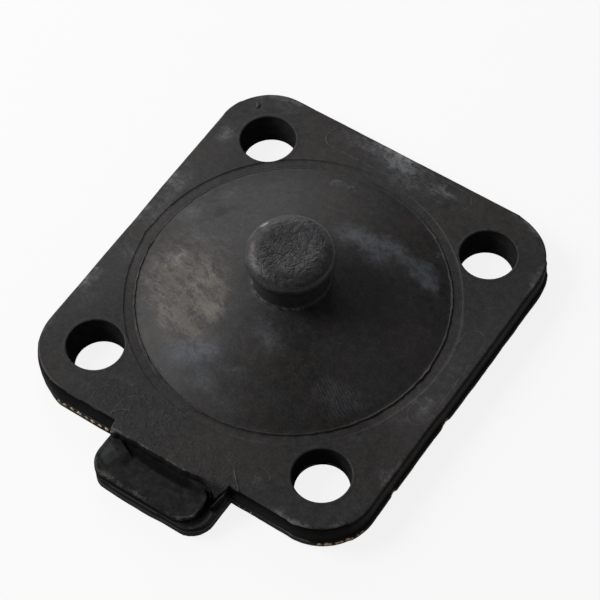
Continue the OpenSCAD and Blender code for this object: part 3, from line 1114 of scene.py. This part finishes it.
# %% Colour of the skin
WIDE_FILM = [(-18, 6, 44, 27, 50, 0.75), (19, 0, 15, 17, 0, 1.2), (-31, 0, 8, 30, 0, 1.1),
             (31, 4, 8, 24, 0, 0.9)]
colour = painted(
    linear("#151414"),
    ("#211f1f", (mottle, 0.35, 0.7)),
    ("#2b2a2b", (flecks, 0.4, 0.75, 0.5)),
    ("#424143", (cloud, 0.4, 0.75), (broken, 0.5, 1.3, 0.25)),
    ("#2f2722", (warmth, 0.5, 0.62, 0.22)),
    ("#1d2027", (warmth, 0.48, 0.36, 0.35)),
    ("#8d8882", (sand, 0.42, 0.8, 0.2), (mottle, 0.25, 0.75, 0.9)),
    ("#999088", (dust_area, 0.02, 1.0, 0.17), heaped(0.25, (0.75, (flakes, 0.46, 0.53)))),
    ("#8c8a8c", (stains(ragged, WIDE_FILM), 0.05, 0.8, 0.05)),
    ("#9ba2ae", haze),
    ("#b8aa9c", dust),
    ("#949ba8", hatch, (heaped(0, (1, combed), (1, flecks), (1, mottle)), 0.9, 1.9, 0.07)),
    ("#aeb2b8", bloom),
    ("#c4b8ab", scratches, scratched),
    ("#10131a", (stains(ragged, DARK), 0.15, 0.6, 0.7)))

# %% [markdown]
# Thin edges rub pale first: the marks that stand on the flange, the fin, the rim, the torn
# lip over the tab, and the foot of the button. The top grows darker towards the torn lip, and
# a painted shade darkens the channel beside its right end. On the rim of the button's head lie
# painted highlights, a glint and a warm streak, with a pale mark.

# %% Rubbed edges
LIP_SHADE = [(9.8, -37.0, 2.4, 2.8, 0, 1.0)]
# Painted highlights on the rim of the button's head, on the side towards the left lamp: a warm
# streak and a glint; the last row is a pale mark.
HEAD_GLINTS_AND_WEAR = [(-5.3, -2.9, 2.2, 0.55, -55, 0.4), (-6.4, 2.0, 1.0, 0.4, 70, 2.0),
              (3.0, 5.4, 2.5, 0.4, -28, 0.3)]
FIN_FOOT = DOME_R + 0.35
head = product((height, 15.8, 16.4))
colour = painted(
    colour,
    ("#8f8781", (mottle, 0.3, 0.6, 0.1), (height, TOP + 0.012, TOP + 0.05),
     (radius, FIN_FOOT, FIN_FOOT + 0.15), (from_hole, BOLT_R + 0.9, BOLT_R + 1.2)),
    ("#a89b8c", (mottle, 0.35, 0.65, 0.2), (height, TOP + 0.1, TOP + 0.2),
     (radius, DOME_R - 0.35, DOME_R - 0.2), (radius, FIN_FOOT + 0.15, FIN_FOOT)),
    ("#b9b7b4", (heaped(bloom_area, (0.5, mottle)), 0.3, 1.0, 0.3),
     (heaped(reach, (1.5, mottle)), CORNER_R - 0.5, CORNER_R + 0.35),
     (axes["Y"], -35.0, -34.8), (from_tab, TAB_HALF + 0.3, TAB_HALF + 1.2)),
    ("#121111", (axes["Y"], -32.5, -35.8, 0.45)),
    ("#a89f92", (broken, 0.8, 1.15, 0.36), (axes["X"], 9.0, 6.5), (axes["Y"], -35.6, -35.85),
     (height, 4.3, 4.6)),
    ("#121213", (stains(mm, LIP_SHADE), 0.05, 0.6, 0.7)),
    ("#a39682", (heaped(0, (1, broken), (1, mottle)), 1.3, 1.7, 0.22), (height, 11.45, 11.6),
     (height, 12.0, 11.8), (heaped(0, (1, axes["X"]), (1, axes["Y"])), 3.5, 0.5)),
    ("#8a8a8c", (height, 11.9, 13.0, 0.02)),
    ("#969ba4", head, (heaped(0, (1, broken), (1, strokes)), 1.15, 1.8, 0.08)),
    # Painted highlights on the rim of the head, with one pale mark.
    ("#c9bba8", head, stains(mm, HEAD_GLINTS_AND_WEAR), (broken, 0.5, 1.1, 0.4)))

# %% [markdown]
# The relief is too fine for the mesh: the blasted grain, the scuffs in the dust, the brushed
# lines, the turning marks in the ring, and the creases that the rubber kept where it was
# pulled round beside the tab.

# %% Relief and gloss of the upper side
BESIDE_TAB = [(-5.0, -31.5, 14.0, 6.0, -5, 1.5), (9.0, -33.0, 8.0, 4.5, -20, 1.2),
              (-16.0, -30.0, 7.0, 6.0, 0, 0.7)]
by_tab = product((stains(mm, BESIDE_TAB), 0.05, 0.8))
folds = add("ABSOLUTE", heaped(-0.5, (1, add("TexNoise", ragged, 1 / 2.6, 3, 0.6))))
relief = heaped(
    0, (0.02, grain), (0.02, mottle),
    (0.02, scuffs, (dust_area, 0.1, 0.5)),
    (0.008, cross_scuffs, (dust_area, 0.0, 0.4)),
    (0.018, hatch, combed),
    (0.07, by_tab, (folds, 0.05, 0.0), (mottle, 0.4, 0.6)),
    (0.1, by_tab, mottle),
    (0.06, stroked(mm, 1, 5.0, 0.14), (axes["Y"], -33.4, -34.8)),
    (0.05, turned_marks, (radius, DOME_R + 0.2, DOME_R + 0.4), (height, TOP - 0.1, TOP - 0.2)))
roughness = heaped(0.46, (0.45, bloom), (0.45, haze), (0.45, dust), (0.14, cloud),
                   (-0.1, (height, 16.0, 17.0)))
close_material(colour, relief, roughness, 0.26)
print("nodes in the upper side's material:", len(tree.nodes))

# %% [markdown]
# ## Black rubber, sides, tab, bores and wet face
# The same rubber looks different where it was made differently. The sides were trimmed and
# drag marks run along them, so they reflect very little. The bores were formed by polished
# pins and then powdered, and stay black. The tab's floor was stroked by the mould maker's
# brush. The wet face and its hollow came off a smoother mould and were wiped clean.
# One recipe makes all four: grain, strokes along the piece, and a little pale powder. On the
# trimmed sides a painted light grows towards the wet face. The tab has more to tell, so its worn
# rim, a painted sheen on one facet and a painted shadow under its lip are lists of places.

# %% Other rubber surfaces
def plain_rubber(name, low, high, specular, roughness, powder, stroke, stroke_depth,
                 painted_low_light=0.0, places=None):
    """Black rubber with strokes (angle, length, width) and a little powder in the low places."""
    material, mm = start_material(name)
    fine = add("TexNoise", mm, 1 / 0.25, 3, 0.6)
    patchy = add("TexNoise", mm, 1 / 1.6, 5, 0.65)
    strokes = stroked(mm, *stroke)
    layers = [(high, (patchy, 0.35, 0.7)),
              ("#8b8c8e", (heaped(0, (0.6, strokes), (0.5, patchy)), 0.5, 0.85, powder))]
    # Painted light: the trimmed side grows lighter towards the wet face, against the shade that the
    # part's shadow on the floor leaves on the low wall.
    if painted_low_light:
        height = add("SeparateXYZ", mm).outputs["Z"]
        layers.append(("#2f2c29", (heaped(height, (1, patchy)), 2.3, 1.7, painted_low_light)))
    if places:
        specks = heaped(-1.25, (1.5, patchy), (1.5, fine))
        layers += [("#b3aea6", (product(stains(mm, places["worn"]), specks), 0.2, 0.8, 0.13)),
                   # Painted sheen, a pale crisp-edged patch on the facet at the pad's left end.
                   ("#b9bec4", (box_distance(mm, strokes, *places["facet_sheen"]), 1.25, 1.05, 0.03)),
                   # Painted shadow under the torn lip and in the channel by the pad's right end.
                   ("#08080a", (stains(mm, places["painted_shadow"]), 0.1, 0.6, 0.8))]
    close_material(painted(linear(low), *layers), heaped(0, (0.006, fine), (stroke_depth, strokes)),
                   heaped(roughness, (0.15, patchy)), specular)
    return material


def box_distance(mm, strokes, x, y, long, wide, angle):
    """How far a place is from the middle of a turned box: 1 is on its edge, frayed by strokes."""
    box = add("Mapping", mm, (x, y, 0), (0, 0, math.radians(angle)), (long, wide, ALL_HEIGHTS),
              vector_type="TEXTURE")
    box = add("SeparateXYZ", add("VectorMath", box, operation="ABSOLUTE")).outputs
    return heaped(add("MAXIMUM", box["X"], box["Y"]), (0.25, strokes))


TAB_PLACES = {
    # Painted sheen where the facet at the left end of the pad catches the light: x, y, half length,
    # half width, angle.
    "facet_sheen": (-9.3, -39.3, 1.8, 1.2, -25),
    # Painted shadow cast by the torn lip on the back of the pad, and painted shade in the channel
    # beside its right end.
    "painted_shadow": [(-0.5, -36.7, 9.0, 1.5, -2, 1.6), (9.3, -38.6, 1.0, 2.6, 0, 1.4),
              (-7.2, -36.4, 2.4, 0.7, -25, 1.4)],
    "worn": [(-2.0, -42.85, 13.0, 0.75, 0, 1.8), (-7.5, -42.6, 3.5, 0.9, -8, 1.2),
             (-9.9, -41.2, 2.0, 1.0, -55, 1.7), (7.6, -42.3, 2.6, 0.7, 35, 1.8),
             (8.8, -39.9, 0.7, 2.8, 0, 1.8), (8.0, -37.4, 1.6, 0.5, -45, 1.2),
             (0.0, -41.0, 10.0, 1.8, 0, 0.35)]}
side_rubber = plain_rubber("black_nitrile_rubber_trimmed", "#070707", "#0e0e0e", 0.02, 0.55,
                           0.015, (0, 4, 4), 0.02, painted_low_light=0.8)
bore_rubber = plain_rubber("black_nitrile_rubber_pin_formed", "#212122", "#2b2a2b", 0.0, 0.6,
                           0.01, (0, 0.5, 0.5), 0.008)
tab_rubber = plain_rubber("black_nitrile_rubber_brushed", "#1c1c1c", "#272727", 0.05, 0.5,
                          0.08, (2, 3.5, 0.16), 0.045, places=TAB_PLACES)
wet_rubber = plain_rubber("black_nitrile_rubber_wet_face", "#121213", "#201f20", 0.3, 0.5,
                          0.05, (35, 2.5, 0.5), 0.008)

# %% Give each face of the moulding its finish
UPPER, SIDE, BORE, TAB, WET = range(5)
LIP_UNDERSIDE = 4.2
TAB_TOPS = (2.6, 3.62)


def finish_of(face):
    """Choose the finish of a face by its place, in millimetres."""
    x, y, z = face.center / MM
    beside_hole = min(math.dist((x, y), place.xy) for place in HOLES) < BOLT_R + 0.1
    if beside_hole and z < TOP - 0.03:
        return BORE
    if face.normal.z < -0.2 and (z < 0.1 or math.hypot(x, y) < HOLLOW_R + 0.1):
        return WET
    faces_up = face.normal.z > 0.4
    if y < -34.9 and faces_up and TAB_TOPS[0] < z < (TAB_TOPS[1] if x > -4 else LIP_UNDERSIDE):
        return TAB
    if -37.9 < y < -35.2 and z > 2.9 and face.normal.z < 0.4 and -10.5 < x < 9.5:
        return BORE
    if z < TOP - 0.2 and not (y < -34 and faces_up):
        return SIDE
    return UPPER


moulding.data.materials.clear()
for material in (upper_rubber, side_rubber, bore_rubber, tab_rubber, wet_rubber):
    moulding.data.materials.append(material)
for face in moulding.data.polygons:
    face.material_index = finish_of(face)
print("faces by finish:", [sum(face.material_index == k for face in moulding.data.polygons)
                           for k in range(5)])

# %% [markdown]
# ## Cotton ply
# The ply is a plain cotton duck, with threads about 1.4 millimetres apart, rubbed full of
# dough so that it turned brown where it shows. Warp and weft are drawn as two waves across
# each other, over and under in a checkerboard.

# %% Woven cotton
THREAD_PITCH = 1.4


def cotton(name, low, high):
    """Twisted cotton in two written colours, darker between the fibres."""
    material, mm = start_material(name)
    fibres = stroked(mm, 30, 0.5, 0.1)
    soil = add("TexNoise", mm, 1 / 0.9, 4, 0.6)
    tone = painted(linear(low), (high, (fibres, 0.3, 0.65)), ("#2a2420", (soil, 0.5, 0.75, 0.75)))
    warp, weft = [add("TexWave", mm, math.pi / (10 * THREAD_PITCH),
                      bands_direction=way).outputs["Fac"] for way in ("X", "Y")]
    weave = heaped(0, (0.15, add("MAXIMUM", warp, weft)), (0.05, fibres))
    close_material(tone, weave, 0.9, 0.1, strength=0.8, sheen=0.15)
    return material


ply_cotton = cotton("cotton_duck_proofed", "#3a2c20", "#7a5f45")
end_cotton = cotton("cotton_thread_cut", "#b08a5e", "#ead2a6")
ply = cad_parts["fabric_ply"]
ply.data.materials.clear()
ply.data.materials.append(ply_cotton)

# %% [markdown]
# ## Frayed thread ends
# Where the blank was trimmed, the cut threads of the ply stand out of the side as small pale
# tufts. One tuft is a short cylinder whose end is divided into fibres that are pulled out
# unevenly. It is copied along the sides at the pitch of the weave, and the copies are joined.

# %% Places of the thread ends
TUFTS = [
    (-22.9, 0.8), (-21.45, 0.9), (-20.0, 1.0), (-18.55, 1.1), (-17.1, 0.9), (-15.75, 1.1),
    (-14.3, 1.0), (-12.95, 1.2), (-11.75, 1.25)]
SPECKS = [(12.9, 0.5), (14.0, 0.35), (15.2, 0.5)]
CORNER_ENDS = [
    (-58.5, 0.95), (-52.0, 1.15), (-49.0, 1.0), (-42.0, 1.05), (-38.5, 0.9), (-32.0, 1.1),
    (-28.5, 0.85), (-21.5, 0.8), (-17.0, 0.8)]
SIDE_STREAKS = [(-19.7, 1.5), (-18.9, 0.8), (-4.9, 2.2), (-3.8, 1.5)]
THREAD_HEIGHT = 0.95


def side_place(x, y):
    """Where the ray from the core of the flange through a place meets its side, and outwards."""
    away = outward(Vector((x, y, THREAD_HEIGHT)))
    core = Vector((min(max(x, CORNER_R - HALF_X), HALF_X - CORNER_R),
                   min(max(y, CORNER_R - HALF_Y), HALF_Y - CORNER_R), THREAD_HEIGHT))
    return flange_wall(core + away * CORNER_R), away


# %% One tuft
def tuft(place, away, wide, tall, seed):
    """A thread end of a given width and height that stands a tenth of a millimetre out."""
    start_clean()
    bpy.ops.mesh.primitive_cylinder_add(vertices=12, radius=0.5, depth=0.9, end_fill_type="TRIFAN")
    piece = bpy.context.object
    activate(piece, editing=True)
    pick(piece, "edges", lambda middle, edge: middle.z > 0.44 and middle.xy.length < 0.4)
    bpy.ops.mesh.subdivide(number_cuts=2)
    start_clean()
    for point in piece.data.vertices:
        x, y, z = point.co
        spread = 1 + 0.25 * wander(point.co, 0.35, seed)
        pulled = 0.16 * wander((x, y, 0), 0.16, seed + 1) * (z > 0.4)
        lean = 0.1 * wander((x, y, 0), 0.3, seed + 2) * (z > 0.4)
        point.co = Vector((x * wide * spread + lean, y * tall * spread, z + pulled))
    turned = away.to_track_quat("Z", "Y")
    for point in piece.data.vertices:
        point.co = turned @ Vector((point.co.x, point.co.y, point.co.z - 0.4)) + place
    return piece


# %% Lay the tufts along the sides
tufts = []
for x, size in TUFTS + SPECKS:
    place, away = side_place(x, -40)
    tufts.append(tuft(place, away, 0.72 * size, 0.62 * size, 100 + len(tufts)))
for angle, size in CORNER_ENDS:
    way = Vector((math.cos(math.radians(angle)), math.sin(math.radians(angle)), 0)) * 20
    place, away = side_place(HALF_X - CORNER_R + way.x, CORNER_R - HALF_Y + way.y)
    tufts.append(tuft(place, away, 0.75 * size, 0.6 * size, 100 + len(tufts)))
for y, size in SIDE_STREAKS:
    place, away = side_place(60, y)
    tufts.append(tuft(place, away, 0.8 * size, 0.35, 100 + len(tufts)))
start_clean()
for piece in tufts:
    piece.select_set(True)
thread_ends = tufts[0]
bpy.context.view_layer.objects.active = thread_ends
bpy.ops.object.join()
thread_ends.name = "thread_ends"
thread_ends.data.name = "thread_ends"
bpy.ops.object.shade_smooth()
thread_ends.scale = (MM, MM, MM)
bpy.ops.object.transform_apply(location=True, rotation=True, scale=True)
thread_ends.data.materials.clear()
thread_ends.data.materials.append(end_cotton)
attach(thread_ends, "root")
report(thread_ends)

# %% [markdown]
# ## Floor and light
# The part lies on a pale floor that reads white to the camera and keeps a faint shadow. Two
# soft lamps stand beyond the part, one low behind it and one higher on its left, as the
# photograph's highlights on the dome and the button show.

# %% Floor
FLOOR_GLOW = 0.86
A_HAIR_BELOW = -0.00002
start_clean()
bpy.ops.mesh.primitive_plane_add(size=6, location=(0, 0, A_HAIR_BELOW))
floor = bpy.context.object
floor.name = "floor"
paper = start_material("white_paper")[0]
rays = add("LightPath").outputs
seen = add("MAXIMUM", rays["Is Camera Ray"], rays["Is Glossy Ray"])
seen = add("MAXIMUM", seen, rays["Is Transmission Ray"])
sheet = add("BsdfDiffuse", linear("#e8e8e8"))
white = add("Emission", (1, 1, 1, 1), 1.0)
add("OutputMaterial", add("MixShader", add("MULTIPLY", seen, FLOOR_GLOW), sheet, white))
floor.data.materials.append(paper)

# %% Lamps and world
WORLD_STRENGTH = 0.15
LAMP_DISTANCE = 0.6
LAMP_SIZE = 0.3
world = bpy.data.worlds.new("studio")
bpy.context.scene.world = world
world.use_nodes = True
background = world.node_tree.nodes["Background"].inputs
background["Color"].default_value = (1, 1, 1, 1)
background["Strength"].default_value = WORLD_STRENGTH
AWAY = Vector((-0.602, 0.798, 0))
LEFT = Vector((-0.798, -0.602, 0))


def soft_lamp(name, turn, elevation, power):
    """A square lamp, turned round the part from straight beyond it towards its left."""
    turn, elevation = math.radians(turn), math.radians(elevation)
    flat = AWAY * math.cos(turn) + LEFT * math.sin(turn)
    way = flat * math.cos(elevation) + Vector((0, 0, math.sin(elevation)))
    lamp = bpy.data.objects.new(name, bpy.data.lights.new(name, "AREA"))
    lamp.data.size = LAMP_SIZE
    lamp.data.energy = power
    lamp.location = way * LAMP_DISTANCE
    lamp.rotation_mode = "QUATERNION"
    lamp.rotation_quaternion = way.to_track_quat("Z", "Y")
    bpy.context.scene.collection.objects.link(lamp)


soft_lamp("lamp_beyond", 8, 30, 1.1)
soft_lamp("lamp_left", 72, 38, 3.1)
bpy.context.scene.view_settings.view_transform = "Standard"
